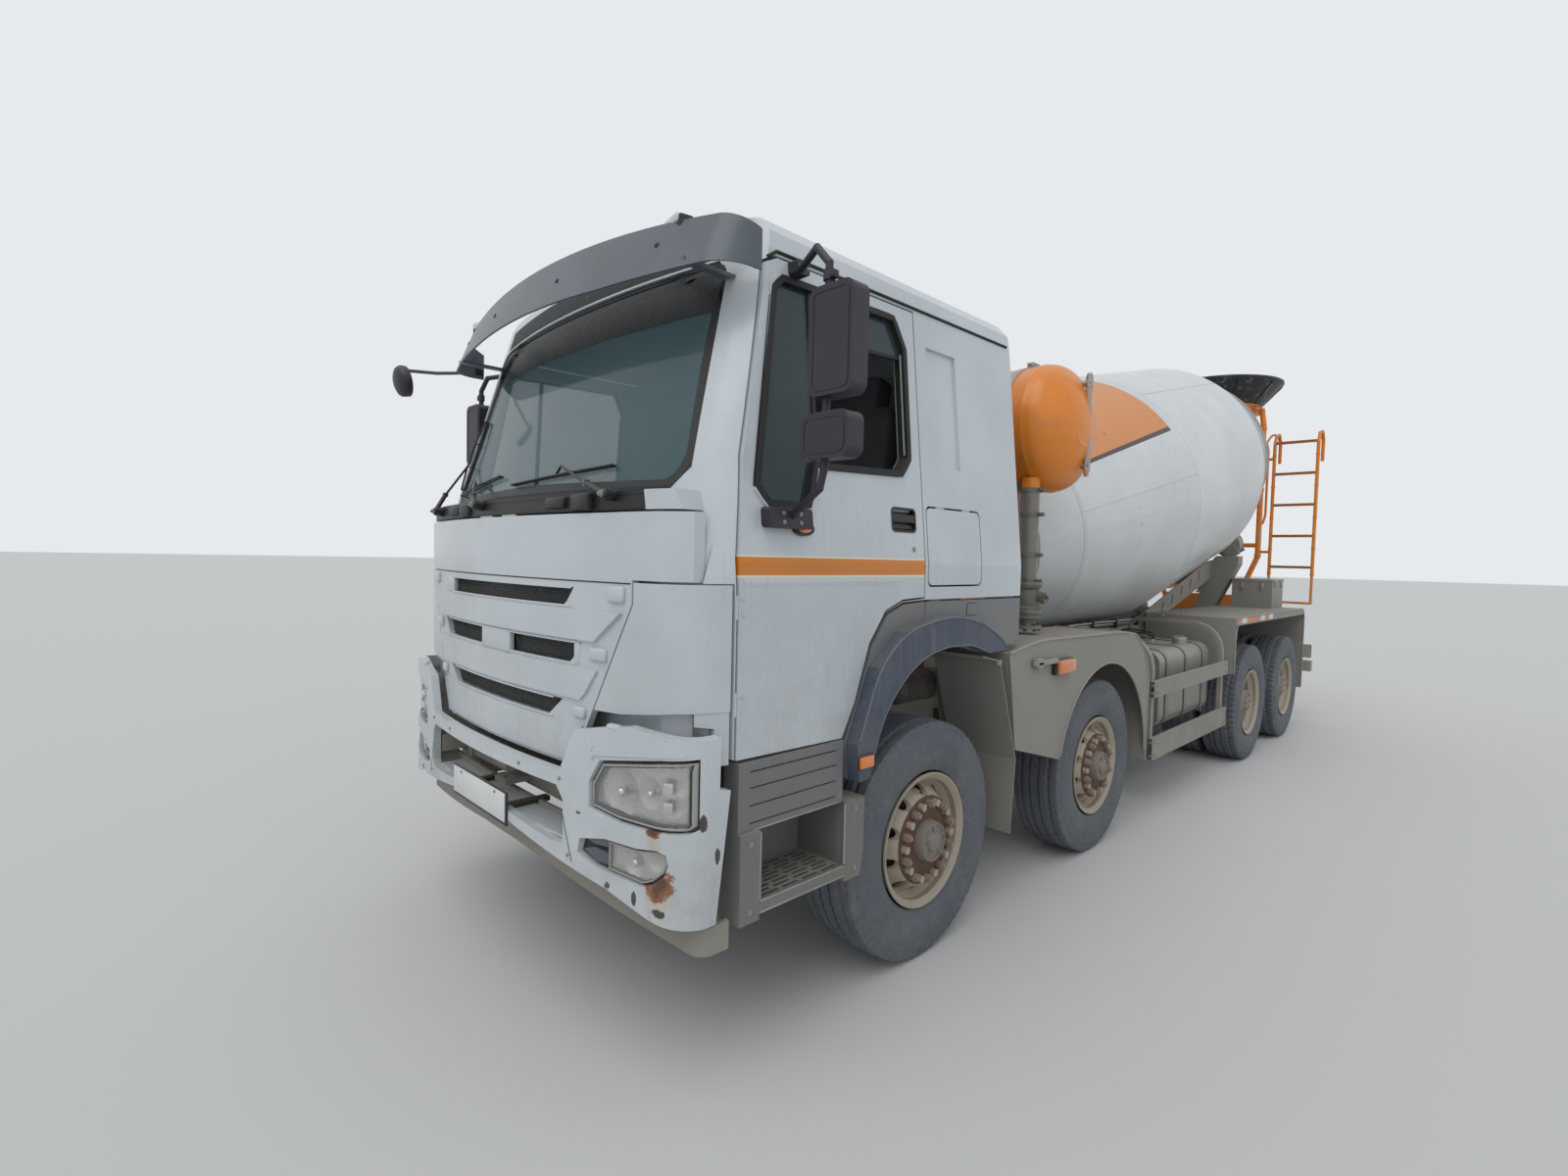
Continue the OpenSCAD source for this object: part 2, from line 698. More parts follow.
// Two steps under each door, cut back where the tyre sweeps past
step_box_y = [380, 1016];
module entry_steps() {
    color([0.5, 0.5, 0.5]) both_sides() difference() {
        union() {
            block([930, step_box_y[0], 540], [bumper_x, step_box_y[0] + 90, 847]);
            block([930, step_box_y[1] - 110, 540], [bumper_x, step_box_y[1], 847]);
            block([930, step_box_y[0], 560], [bumper_x, step_box_y[1], 600]);
            block([930, step_box_y[0], 560], [950, step_box_y[1], 1085]);
            block([1110, step_box_y[0], 847], [1186, step_box_y[1] - 116, 1082]);
            block([430 + seat_gap, step_box_y[0] + 100, 850], [940, step_box_y[0] + 160, 910]);
        }
        translate([kingpin_x, axle1_y, 530]) cylinder(h = 330, r1 = sweep_r + 12, r2 = sweep_r - 45);
        block([960, step_box_y[0] + 100, 601], [1300, step_box_y[1] - 120, 846]);
    }
}
// Radius of the ball that a steered tyre fills as it turns about its kingpin
sweep_r = norm([steer_face_x - kingpin_x, tyre_r]);

// Frame and running gear

module rail() {
    front_solid(260, frame_end_y) polygon([
        [rail_x, rail_low_z], [rail_x, rail_top_z], [rail_x - 80, rail_top_z],
        [rail_x - 80, rail_top_z - rail_t], [rail_x - rail_t, rail_top_z - rail_t],
        [rail_x - rail_t, rail_low_z + rail_t], [rail_x - 80, rail_low_z + rail_t],
        [rail_x - 80, rail_low_z]]);
}
cross_stations = [300, 2950, 3900, 5000, 6000, 7242, 8300, frame_end_y - 100];
// Tow jaw: two ears with a pin hole through them, standing out along Y from p
tow_r = [20, 25];
module jaw(ear_l, hole_y, hole_r) {
    difference() {
        for (z = [-45, 25]) block([-55, min(0, ear_l), z], [55, max(0, ear_l), z + 20]);
        translate([0, hole_y, -60]) cylinder(h = 120, r = hole_r);
    }
}
module chassis_frame() {
    color(frame_grey) {
        both_sides() rail();
        for (y = cross_stations) difference() {
            block([-rail_x + rail_t / 2, y, rail_low_z + 40], [rail_x - rail_t / 2, y + 90, rail_top_z - 40]);
            block([-rail_x - 1, y - 1, rail_low_z + 50], [rail_x + 1, y + 80, rail_top_z - 50]);
        }
        // beam behind the bumper with its brackets
        block([-1000, 200, 780], [1000, 262, 900]);
        both_sides() block([640, 81, 800], [690, 210, 880]);
        // tow jaws: an upright pin in front, a pin across at the rear
        translate([0, 205, 845]) jaw(-115, -80, tow_r[0]);
        translate([0, frame_end_y - 15, 890]) rotate([0, 90, 0]) jaw(130, 90, tow_r[1]);
        // cab mounts
        both_sides() block([340, 420, rail_top_z - 1], [rail_x + 60, 560, cab_low_z - seat_gap]);
        both_sides() block([340, 2040, rail_top_z - 1], [rail_x + 30, 2160, quarter_low_z - seat_gap]);
    }
}

gearbox_out_z = 700;
module engine_block() {
    color([0.35, 0.36, 0.38]) {
        block([-330, 1260, 640], [330, 2150, 1480]);
        translate([0, 2140, 820]) rotate([-90, 0, 0]) cylinder(h = 500, r = 180);
        translate([0, 2600, gearbox_out_z]) rotate([-90, 0, 0]) cylinder(h = 100, r = 70);
        block([-340, 640, 700], [340, 740, 1085]);
        block([-rail_x + rail_t, 1700, 900], [rail_x - rail_t, 1760, 1000]);
        block([-60, 730, 800], [60, 1270, 860]);
    }
}

beam_drop = 95;
beam_end_h = 130;
module front_beam(y) {
    difference() {
        union() {
            front_solid(y - 50, y + 50) polygon([
                [-kingpin_x, tyre_r - 55], [-800, tyre_r - 55], [-560, tyre_r - beam_drop - 55],
                [560, tyre_r - beam_drop - 55], [800, tyre_r - 55], [kingpin_x, tyre_r - 55],
                [kingpin_x, tyre_r + 55], [800, tyre_r + 55], [560, tyre_r - beam_drop + 45],
                [-560, tyre_r - beam_drop + 45], [-800, tyre_r + 55], [-kingpin_x, tyre_r + 55]]);
            for (s = [-1, 1]) translate([s * kingpin_x, y, tyre_r - beam_end_h / 2])
                cylinder(h = beam_end_h, r = 46);
        }
        for (s = [-1, 1]) translate([s * kingpin_x, y, 0]) cylinder(h = 1200, r = kingpin_r + run_fit);
    }
}
axle_tube_x = 860;
module drive_axle(y) {
    translate([0, y, tyre_r]) rotate([0, 90, 0]) rotate_extrude() polygon([
        [0, -axle_tube_x - 235], [hub_bore_r - run_fit, -axle_tube_x - 235],
        [hub_bore_r - run_fit, -axle_tube_x], [78, -axle_tube_x], [78, -420], [130, -300],
        [215, -190], [235, 0], [215, 190], [130, 300], [78, 420], [78, axle_tube_x],
        [hub_bore_r - run_fit, axle_tube_x], [hub_bore_r - run_fit, axle_tube_x + 235],
        [0, axle_tube_x + 235]]);
}
module axles() {
    color([0.42, 0.4, 0.37]) {
        for (y = steer_axles) front_beam(y);
        for (y = drive_axles) drive_axle(y);
        // propeller shafts
        bar([0, 2704, gearbox_out_z], [0, axle3_y - 180, tyre_r + 40], 55);
        bar([0, axle3_y + 180, tyre_r + 40], [0, axle4_y - 180, tyre_r + 40], 50);
    }
}

module leaf_springs() {
    color([0.3, 0.29, 0.28]) both_sides() {
        for (y = steer_axles) {
            spring_z = tyre_r - beam_drop + 45;
            for (i = [0 : 4]) block([rail_x + 8, y - 700 + i * 120, spring_z + seat_gap + 26 + (4 - i) * 15],
                [rail_x + 88, y + 700 - i * 120, spring_z + seat_gap + 40 + (4 - i) * 15]);
            block([rail_x + 8, y - 90, spring_z + seat_gap], [rail_x + 88, y + 90, spring_z + 120]);
            for (s = [-1, 1]) block([rail_x + seat_gap, y + s * 660 - 45, spring_z + 80],
                [rail_x + 88, y + s * 660 + 45, rail_low_z + 120]);
        }
        mid = (axle3_y + axle4_y) / 2;
        for (i = [0 : 6]) block([rail_x + 20, mid - 640 + i * 70, tyre_r + 89 + i * 17],
            [rail_x + 120, mid + 640 - i * 70, tyre_r + 104 + i * 17]);
        block([rail_x + seat_gap, mid - 160, tyre_r - 60], [rail_x + 130, mid + 160, rail_low_z + 180]);
        for (y = drive_axles) block([rail_x + 20, y - 70, tyre_r + 78 + seat_gap], [rail_x + 120, y + 70, tyre_r + 95]);
    }
}

// Steering knuckle with its kingpin and stub axle
stub_end_x = steer_face_x - 45;
knuckle_face_x = kingpin_x + 92;
module knuckle(y) {
    lug_z = beam_end_h / 2 + 1;
    translate([0, y, tyre_r]) {
        translate([kingpin_x, 0, -lug_z - 38]) cylinder(h = 2 * (lug_z + 38), r = kingpin_r);
        for (s = [-1, 1]) {
            translate([kingpin_x, 0, s * (lug_z + 19) - 19]) cylinder(h = 38, r = 50);
            block([kingpin_x, -50, s * (lug_z + 19) - 19], [knuckle_face_x - 5, 50, s * (lug_z + 19) + 19]);
        }
        block([kingpin_x + 58, -60, -lug_z - 38], [knuckle_face_x - 5, 60, lug_z + 38]);
        rotate([0, 90, 0]) translate([0, 0, kingpin_x + 60]) cylinder(h = stub_end_x - kingpin_x - 60, r = hub_bore_r - run_fit);
        // steering arm
        block([kingpin_x - 30, -200, -lug_z - 38], [kingpin_x + 20, -30, -lug_z - 8]);
    }
}
module knuckle_1_left() {
    color([0.42, 0.4, 0.37]) knuckle(axle1_y);
}
module knuckle_1_right() {
    color([0.42, 0.4, 0.37]) mirror([1, 0, 0]) knuckle(axle1_y);
}
module knuckle_2_left() {
    color([0.42, 0.4, 0.37]) knuckle(axle2_y);
}
module knuckle_2_right() {
    color([0.42, 0.4, 0.37]) mirror([1, 0, 0]) knuckle(axle2_y);
}

// Wheels. Their profiles are drawn as [radius, depth inwards from the tyre's outer face].
bead_r = rim_r - 20;
module revolved(face_x, y) {
    translate([face_x, y, tyre_r]) rotate([0, -90, 0]) rotate_extrude() children();
}
// A tyre's half section from its outer face to its middle, then mirrored
tyre_half = [[bead_r, 58], [bead_r, 26], [rim_r + 3, 24], [340, 6], [400, 0], [455, 5], [tyre_r - 24, 14],
    [tyre_r - 3, 34]];
groove_w = 10;
module tyre(face_x, y) {
    revolved(face_x, y) difference() {
        polygon(concat(tyre_half, [[tyre_r, tyre_w / 2]],
            [for (k = [len(tyre_half) - 1 : -1 : 0]) [tyre_half[k][0], tyre_w - tyre_half[k][1]]],
            [[330, tyre_w - 52], [400, tyre_w - 22], [470, tyre_w - 30], [tyre_r - 38, tyre_w - 60],
            [tyre_r - 36, 60], [470, 30], [400, 22], [330, 52]]));
        for (g = [-3, -1, 1, 3]) translate([tyre_r - 16, tyre_w / 2 + g * 31 - groove_w / 2]) square([30, groove_w]);
    }
}
// Barrel of a rim, from flange to flange
module barrel_section() {
    polygon([
        [rim_r, 12], [rim_r, 22], [bead_r - 1, 25], [bead_r - 1, 60], [bead_r - 28, 90], [bead_r - 28, 190],
        [bead_r - 1, tyre_w - 60], [bead_r - 1, tyre_w - 25], [rim_r, tyre_w - 22], [rim_r, tyre_w - 12],
        [rim_r - 8, tyre_w - 12], [bead_r - 10, tyre_w - 30], [bead_r - 10, tyre_w - 64], [bead_r - 37, 194],
        [bead_r - 37, 86], [bead_r - 10, 56], [bead_r - 10, 30], [rim_r - 8, 12]]);
}
stud_circle_r = 167;
// Steered wheel: the disc bulges outwards, hub and cap stand in its middle
module steer_rim(y) {
    difference() {
        revolved(steer_face_x, y) {
            barrel_section();
            polygon([[bead_r - 33, 100], [bead_r - 33, 84], [236, 78], [198, 22], [110, 18], [110, 34], [188, 38], [226, 94]]);
            // hub, blind towards the outside
            difference() {
                polygon([[0, -22], [70, -22], [84, -12], [90, 18], [128, 20], [130, 60], [96, 70],
                    [90, steer_face_x - knuckle_face_x], [0, steer_face_x - knuckle_face_x]]);
                translate([-1, steer_face_x - stub_end_x - 2]) square([hub_bore_r + 1, 400]);
            }
        }
        for (a = [0 : 36 : 359]) translate([0, y, tyre_r]) rotate([a, 0, 0])
            translate([steer_face_x - 150, 0, 219]) rotate([0, 90, 0]) cylinder(h = 200, r = 26);
    }
    for (a = [0 : 36 : 359]) translate([0, y, tyre_r]) rotate([a + 18, 0, 0])
        translate([steer_face_x - 24, 0, stud_circle_r]) rotate([0, 90, 0]) cylinder(h = 34, r = 16);
}
// Driven pair: both discs meet between the tyres, and the hub stands out through the outer one
twin_step = tyre_w + twin_gap;
disc_depth = tyre_w + twin_gap / 2;
module drive_rim(y) {
    difference() {
        revolved(drive_face_x, y) {
            barrel_section();
            translate([0, twin_step]) barrel_section();
            polygon([[bead_r - 33, 190], [bead_r - 33, 174], [226, 190], [200, disc_depth - 14],
                [110, disc_depth - 14], [110, disc_depth + 14], [200, disc_depth + 14],
                [226, twin_step + tyre_w - 190], [bead_r - 33, twin_step + tyre_w - 174],
                [bead_r - 33, twin_step + tyre_w - 190], [232, twin_step + tyre_w - 196], [214, disc_depth - 1],
                [232, 204]]);
            difference() {
                polygon([[0, 40], [88, 40], [104, 54], [108, 150], [126, 170], [126, disc_depth + 24],
                    [0, disc_depth + 24]]);
                translate([-1, drive_face_x - axle_tube_x - 235 - 2]) square([hub_bore_r + 1, 600]);
            }
        }
        for (a = [0 : 36 : 359]) translate([0, y, tyre_r]) rotate([a, 0, 0])
            translate([drive_face_x - disc_depth - 160, 0, 217]) rotate([0, 90, 0]) cylinder(h = 320, r = 24);
    }
    for (a = [0 : 36 : 359]) translate([0, y, tyre_r]) rotate([a + 18, 0, 0])
        translate([drive_face_x - disc_depth + 10, 0, stud_circle_r]) rotate([0, 90, 0]) cylinder(h = 50, r = 16);
}
module drive_tyres(y) {
    tyre(drive_face_x, y);
    tyre(drive_face_x - twin_step, y);
}

// Mudguards

module mudguards() {
    color(frame_grey) both_sides() {
        // panel behind the first wheel
        side_solid(820, 1200) polygon(sheet([[axle1_y + 345, 1326], [axle1_y + 505, 1290],
            [axle1_y + 690, 774], [axle1_y + 658, 404]], -6));
        block([rail_x + seat_gap, axle1_y + 480, 1270], [1200, axle1_y + 520, 1294]);
        block([rail_x + seat_gap, axle1_y + 480, rail_top_z - 80], [rail_x + 30, axle1_y + 520, 1290]);
        // guard over the second wheel: bent sheet and side plate
        guard_path = concat([[axle2_y - 1124, 826], [axle2_y - 1210, 1318], [axle2_y - 906, 1362], [axle2_y + 200, 1345]],
            [for (a = [60 : -20 : 0]) [axle2_y + 290 + 390 * cos(a), 960 + 380 * sin(a)]],
            [[axle2_y + 670, 450]]);
        side_solid(760, 1200) polygon(sheet(guard_path, -6));
        side_solid(1194, 1200) difference() {
            polygon(concat(guard_path, [[axle2_y, 300], [axle2_y - 596, 680]]));
            translate([axle2_y, tyre_r]) circle(640);
            translate([axle2_y, -200]) square([900, tyre_r + 200]);
        }
        block([rail_x + seat_gap, axle2_y - 200, 1310], [780, axle2_y - 140, 1349]);
        block([rail_x + seat_gap, axle2_y - 200, rail_top_z - 60], [rail_x + 40, axle2_y - 140, 1330]);
        // platform over the driven wheels with its front panel, lip and flap
        rear_path = [[axle3_y - 667, 850], [axle3_y - 667, 1330], [axle4_y + 560, 1330],
            [axle4_y + 640, 1250], [axle4_y + 640, 450]];
        side_solid(rail_x + 72, 1235) polygon(sheet(rear_path, -6));
        side_solid(1229, 1235) polygon([[axle3_y - 667, 1265], [axle3_y - 667, 1328], [axle4_y + 560, 1328], [axle4_y + 590, 1265]]);
        for (y = [axle3_y - 500, axle4_y + 400])
            block([rail_x + seat_gap, y, 1270], [900, y + 60, 1324]);
        for (y = [axle3_y - 500, axle4_y + 400])
            block([rail_x + seat_gap, y, rail_top_z - 100], [rail_x + 40, y + 60, 1300]);
        // box for tools on the platform
        block([660, 8000, 1330], [1040, 8470, 1640]);
    }
}

side_guard_y = [4050, 5750];
module side_guards() {
    color([0.68, 0.67, 0.64]) both_sides() {
        for (z = [[870, 980], [440, 590]])
            block([1200, side_guard_y[0], z[0]], [1226, side_guard_y[1], z[1]]);
        for (y = [side_guard_y[0] + 20, side_guard_y[1] - 80]) front_solid(y, y + 50) polygon(sheet(concat(
            [[1200, 445], [1200, 1060]],
            [for (a = [20 : 20 : 80]) [960 + 240 * cos(a), 1060 + 240 * sin(a)]],
            [[960, 1300], [rail_x + 60, 1300], [rail_x + seat_gap, 1240]]), 30));
        for (y = [side_guard_y[0] + 20, side_guard_y[1] - 80])
            block([rail_x + seat_gap, y, rail_top_z - 150], [rail_x + 30, y + 50, 1265]);
    }
}

tank_box = [[560, 4500, 560], [1100, 5640, 1130]];
module fuel_tank() {
    mid_x = (tank_box[0][0] + tank_box[1][0]) / 2;
    mid_z = (tank_box[0][2] + tank_box[1][2]) / 2;
    color([0.62, 0.62, 0.6]) {
        translate([mid_x, 0, mid_z]) front_solid(tank_box[0][1], tank_box[1][1]) round_rect(540, 570, 90);
        for (y = [4640, 5060, 5480]) {
            translate([mid_x, 0, mid_z]) front_solid(y, y + 50) round_rect(552, 582, 96);
            block([rail_x + seat_gap, y, 620], [rail_x + 30, y + 50, 1030]);
            block([rail_x + seat_gap, y, 620], [600, y + 50, 660]);
        }
        translate([980, 5300, 1110]) cylinder(h = 60, r = 50);
    }
}
module battery_box() {
    color([0.5, 0.5, 0.48]) mirror([1, 0, 0]) {
        block([580, 4400, 620], [1060, 5020, 1080]);
        for (z = [720, 960]) translate([820, 5120, z]) rotate([-90, 0, 0]) cylinder(h = 560, r = 112);
        for (y = [4500, 4860, 5200, 5560]) {
            block([rail_x + seat_gap, y, 640], [rail_x + 30, y + 50, 1030]);
            block([rail_x + seat_gap, y, 820], [800, y + 50, 860]);
        }
        block([800, 5180, 700], [840, 5620, 980]);
    }
}

// Water tank, lying across behind the cab
water_y = 2940;
water_z = 2550;
water_r = 365;
module water_tank() {
    color(orange) {
        translate([0, water_y, water_z]) rotate([0, 90, 0]) rotate_extrude() polygon([
            [0, -1180], [120, -1170], [230, -1135], [320, -1070], [water_r, -980],
            [water_r, 980], [320, 1070], [230, 1135], [120, 1170], [0, 1180]]);
        // saddles and legs to the subframe
        both_sides() {
            block([rail_x - 80, water_y - 60, subframe_z + seat_gap], [rail_x, water_y + 60, water_z - 330]);
            block([rail_x - 90, water_y - 200, water_z - 400], [rail_x + 10, water_y + 200, water_z - 290]);
        }
        // outlet pipe with its flanges
        translate([950, water_y - 190, 1390]) cylinder(h = 860, r = 50);
        for (z = [1390, 1480, 1640]) translate([950, water_y - 190, z]) cylinder(h = 18, r = 85);
        bar([rail_x - 40, water_y - 40, 1440], [950, water_y - 190, 1440], 22);
        // sight gauge
        for (z = [2330, 2800]) bar([1000, water_y + 20, z], [1160, water_y + 50, z], 12);
        bar([1160, water_y + 50, 2285], [1160, water_y + 50, 2840], 16);
    }
}

// Drum, turned about its sloping axis. The local Z runs along the axis from the front plate.
module on_drum_axis() {
    translate([0, drum_y, drum_z]) rotate([drum_tilt - 90, 0, 0]) children();
}
drum_stations = [[0, nose_r], [398, 800], [1835, drum_r], [drum_l - 1831, drum_r], [drum_l, mouth_r]];
function drum_r_at(s) = lookup(s, drum_stations);
module drum() {
    color(white) on_drum_axis() rotate_extrude($fn = 128) {
        difference() {
            polygon(concat([[0, -30], [400, -30], [nose_r - 30, -8]],
                [for (p = drum_stations) [p[1], p[0]]], [[0, drum_l]]));
            polygon(concat([[0, -30 + drum_t], [400, -30 + drum_t], [nose_r - 30 - drum_t, 8]],
                [for (p = drum_stations) [p[1] - drum_t, p[0] + (p[0] == 0 ? drum_t : 0)]],
                [[mouth_r - drum_t, drum_l + 10], [0, drum_l + 10]]));
        }
        // track ring and mouth ring
        translate([drum_r_at(ring_s - 60) - 30, ring_s - 60]) square([ring_r - drum_r_at(ring_s - 60) + 30, 120]);
        translate([mouth_r - 10, drum_l - 40]) square([30, 40]);
    }
}

// Gearbox that turns the drum, on the front pedestal
module drum_gearbox() {
    color([0.5, 0.5, 0.5]) on_drum_axis() {
        translate([0, 0, -330]) cylinder(h = 230, r = 230);
        translate([0, 0, -110]) cylinder(h = 110 - 30 - seat_gap, r = 300);
        translate([0, 0, -480]) cylinder(h = 160, r = 110);
    }
}

// Subframe with the pedestals under the drum
roller_angle = 32;
roller_d = ring_r + roller_r + seat_gap;
pedestal_y = round(drum_y + ring_s * cos(drum_tilt)) + 116;
module drum_stand() {
    color(frame_grey) {
        both_sides() {
            block([rail_x - 80, 2500, rail_top_z + seat_gap], [rail_x, frame_end_y, subframe_z]);
            // inclined strut with five long holes
            side_solid(rail_x - 12, rail_x) difference() {
                polygon([[pedestal_y - 2540, subframe_z - 20], [pedestal_y - 2150, 1270], [pedestal_y - 190, 1810],
                    [pedestal_y + 20, 1840], [pedestal_y + 20, 1640], [pedestal_y - 1740, subframe_z - 20]]);
                for (k = [0 : 4]) translate([pedestal_y - 1490 + k * 270, 1360 + k * 74]) rotate(-20)
                    round_rect(34, 110, 16);
            }
            // roller, turning on a pin between two ears
            on_drum_axis() rotate([0, 0, -roller_angle]) translate([0, roller_d, 0]) {
                translate([0, 0, ring_s - 70]) cylinder(h = 140, r = roller_r);
                translate([0, 0, ring_s - 120]) cylinder(h = 240, r = 40);
                for (s = [-105, 85]) translate([-70, -30, ring_s + s]) cube([140, 180, 20]);
            }
        }
        for (y = [6100, frame_end_y - 300]) block([-rail_x + 70, y, rail_top_z + 40], [rail_x - 70, y + 80, subframe_z - 20]);
        // rear pedestal
        front_solid(pedestal_y, pedestal_y + 170) difference() {
            polygon(mirrored([[rail_x, subframe_z - 20], [700, 1800], [700, 1890], [480, 1890], [330, 1700]]));
            polygon(mirrored([[280, subframe_z + 40], [330, 1480], [250, 1560]]));
        }
        // front pedestal
        side_solid(-330, 330) polygon([[2780, subframe_z - 10], [3440, subframe_z - 10], [3340, 1560],
            [3310, 1600], [3130, 1560], [3050, 1560]]);
        both_sides() block([rail_x - 120, 2780, subframe_z - 30], [rail_x - 60, 3440, subframe_z]);
    }
}

// Feed hopper with the pipe that leads into the drum's mouth
module funnel(grow) {
    translate([0, hopper_y, 0]) rotate_extrude() polygon([
        [0, hopper_z - 490], [235 + grow, hopper_z - 490], [300 + grow, hopper_z - 450],
        [470 + grow, hopper_z - 410], [520 + grow, hopper_z - 290], [hopper_r - 12 + grow, hopper_z - 24],
        [hopper_r - 6 + grow, hopper_z - 20], [hopper_r - 6 + grow, hopper_z + (grow < sheet_t ? 20 : 0)],
        [0, hopper_z + (grow < sheet_t ? 20 : 0)]]);
}
feed_end = [0, mouth_y - 78, mouth_z + 36];
feed_top = [0, hopper_y - 40, hopper_z - 430];
feed_way = (feed_top - feed_end) / norm(feed_top - feed_end);
module feed_hopper() {
    color([0.09, 0.1, 0.12]) difference() {
        union() {
            funnel(sheet_t);
            bar(feed_end, feed_top, 240);
        }
        funnel(0);
        bar(feed_end - 90 * feed_way, feed_top + 45 * feed_way, 240 - sheet_t);
    }
}

// Orange frame behind the mouth with the discharge funnel
collar_z = hopper_z - 350;
post = [610, mouth_y + 280];
collector_z = 2090;
module collector_form(i) {
    intersection() {
        side_solid(-600, 600) polygon([[mouth_y + 132 + i, 2470], [mouth_y + 342 + i, collector_z - i],
            [mouth_y + 712 - i, collector_z - i], [mouth_y + 842 - i, 2860 + i * 2], [mouth_y + 252 + i, 2860 + i * 2]]);
        front_solid(mouth_y, mouth_y + 950) polygon(mirrored([
            [200 - i, collector_z - 10 - i], [430 - i, 2520], [500 - i, 2870 + i * 2]]));
    }
}
module discharge_frame() {
    color(orange) {
        difference() {
            collector_form(0);
            collector_form(sheet_t);
        }
        both_sides() {
            bent_bar([[rail_x - 40, frame_end_y + 12, 1300], [post[0], post[1], 1900],
                [post[0], post[1], collar_z - 200], [562, hopper_y - 25, collar_z + 12]], 30);
            bar([post[0], post[1], 2700], [455, post[1] + 100, 2700], 22);
        }
        // collar round the feed funnel's base, open towards the drum
        difference() {
            translate([0, hopper_y, collar_z]) cylinder(h = 30, r = 550);
            funnel(sheet_t + seat_gap);
            block([-600, hopper_y - 600, collar_z - 10], [600, hopper_y - 150, collar_z + 40]);
        }
        bar([-post[0], post[1], 2040], [post[0], post[1], 2040], 26);
        // arm that carries the chute's swivel
        difference() {
            union() {
                block([-rail_x, frame_end_y + seat_gap, 1060], [rail_x, frame_end_y + 20, 1420]);
                block([-60, frame_end_y + 10, 1330], [60, chute_y, 1420]);
                translate([0, chute_y, 1330]) cylinder(h = 90, r = 80);
            }
            translate([0, chute_y, 1300]) cylinder(h = 200, r = 40 + run_fit);
        }
    }
}

// Chutes. At rest they lie across the truck's back, towards its right side.
swivel_z = 1420;
tilt_z = 1800;
ear_in = chute_r + 10;
module chute_swivel() {
    color(orange) translate([0, chute_y, 0]) {
        translate([0, 0, swivel_z - 110]) cylinder(h = 112, r = 40);
        translate([0, 0, swivel_z + seat_gap]) cylinder(h = 18, r = 90);
        block([-70, -ear_in - 14, swivel_z + 10], [70, ear_in + 14, swivel_z + 34]);
        for (s = [-1, 1]) difference() {
            block([-50, s * (ear_in + 7) - 7, swivel_z + 12], [50, s * (ear_in + 7) + 7, tilt_z + 40]);
            translate([0, s * (ear_in + 7) - 20, tilt_z]) rotate([-90, 0, 0]) cylinder(h = 40, r = 16 + run_fit);
        }
    }
}
// A half round trough along local X from u0 to u1, open upwards
module trough(u0, u1) {
    translate([u0, 0, 0]) rotate([90, 0, 90]) linear_extrude(u1 - u0) difference() {
        circle(chute_r);
        circle(chute_r - sheet_t);
        translate([-300, 0]) square([600, 300]);
    }
}
module along_chute() {
    translate([0, chute_y, tilt_z]) mirror([1, 0, 0]) rotate([0, chute_slope, 0]) children();
}
module chute_main() {
    color(orange) along_chute() {
        trough(-90, chute_l);
        for (s = [-1, 1]) {
            block([-60, s * (chute_r - 1) - 6, -60], [60, s * (chute_r - 1) + 6, 24]);
            translate([0, s * (chute_r - 3), 0]) rotate([-90 * s, 0, 0]) cylinder(h = ear_in + 14 - chute_r + 3, r = 16);
        }
        // ears of the fold hinge
        for (s = [-1, 1]) translate([chute_l, s * (chute_r + 7), 0]) {
            block([-50, -9, -40], [-1, 6, 0]);
            translate([0, 0, 8]) rotate([-90, 0, 0]) difference() {
                union() {
                    translate([0, 0, -6]) cylinder(h = 12, r = 16);
                    block([-30, -8, -6], [0, 16, 6]);
                }
                translate([0, 0, -8]) cylinder(h = 16, r = 8 + run_fit);
            }
        }
    }
}
module chute_extension() {
    color(orange) along_chute() {
        translate([0, 0, 16]) mirror([0, 0, 1]) trough(190, chute_l - 10);
        translate([chute_l, -chute_r - 13, 8]) rotate([-90, 0, 0]) cylinder(h = 2 * chute_r + 26, r = 8);
        // hinge plates, which lie inside the main trough when unfolded
        for (s = [-1, 1]) {
            translate([0, s * (chute_r - sheet_t - 10), 0]) block([chute_l - 60, -5, 2], [chute_l + 10, 5, 40]);
            translate([0, s * (chute_r - sheet_t - 3), 0]) block([chute_l - 60, -8, 17], [chute_l - 12, 8, 40]);
        }
    }
}

ladder_x = [740, 1170];
ladder_y = mouth_y + 270;
module ladder() {
    color(orange) {
        for (x = ladder_x) bent_bar([[x, ladder_y, 1680], [x, ladder_y, 3250], [x, ladder_y + 60, 3360], [x, ladder_y + 180, 3390],
            [x, ladder_y + 260, 3300], [x, ladder_y + 260, 3050]], 18);
        for (z = [1780 : 370 : 3300]) bar([ladder_x[0], ladder_y, z], [ladder_x[1], ladder_y, z], 14);
        for (z = [1960, 3080]) bar([post[0] + 30 + seat_gap, post[1], z], [ladder_x[0], post[1], z], 16);
        bent_bar([[ladder_x[0], ladder_y, 1700], [ladder_x[0], ladder_y, 1360], [ladder_x[1], ladder_y, 1360], [ladder_x[1], ladder_y, 1700]], 14);
    }
}

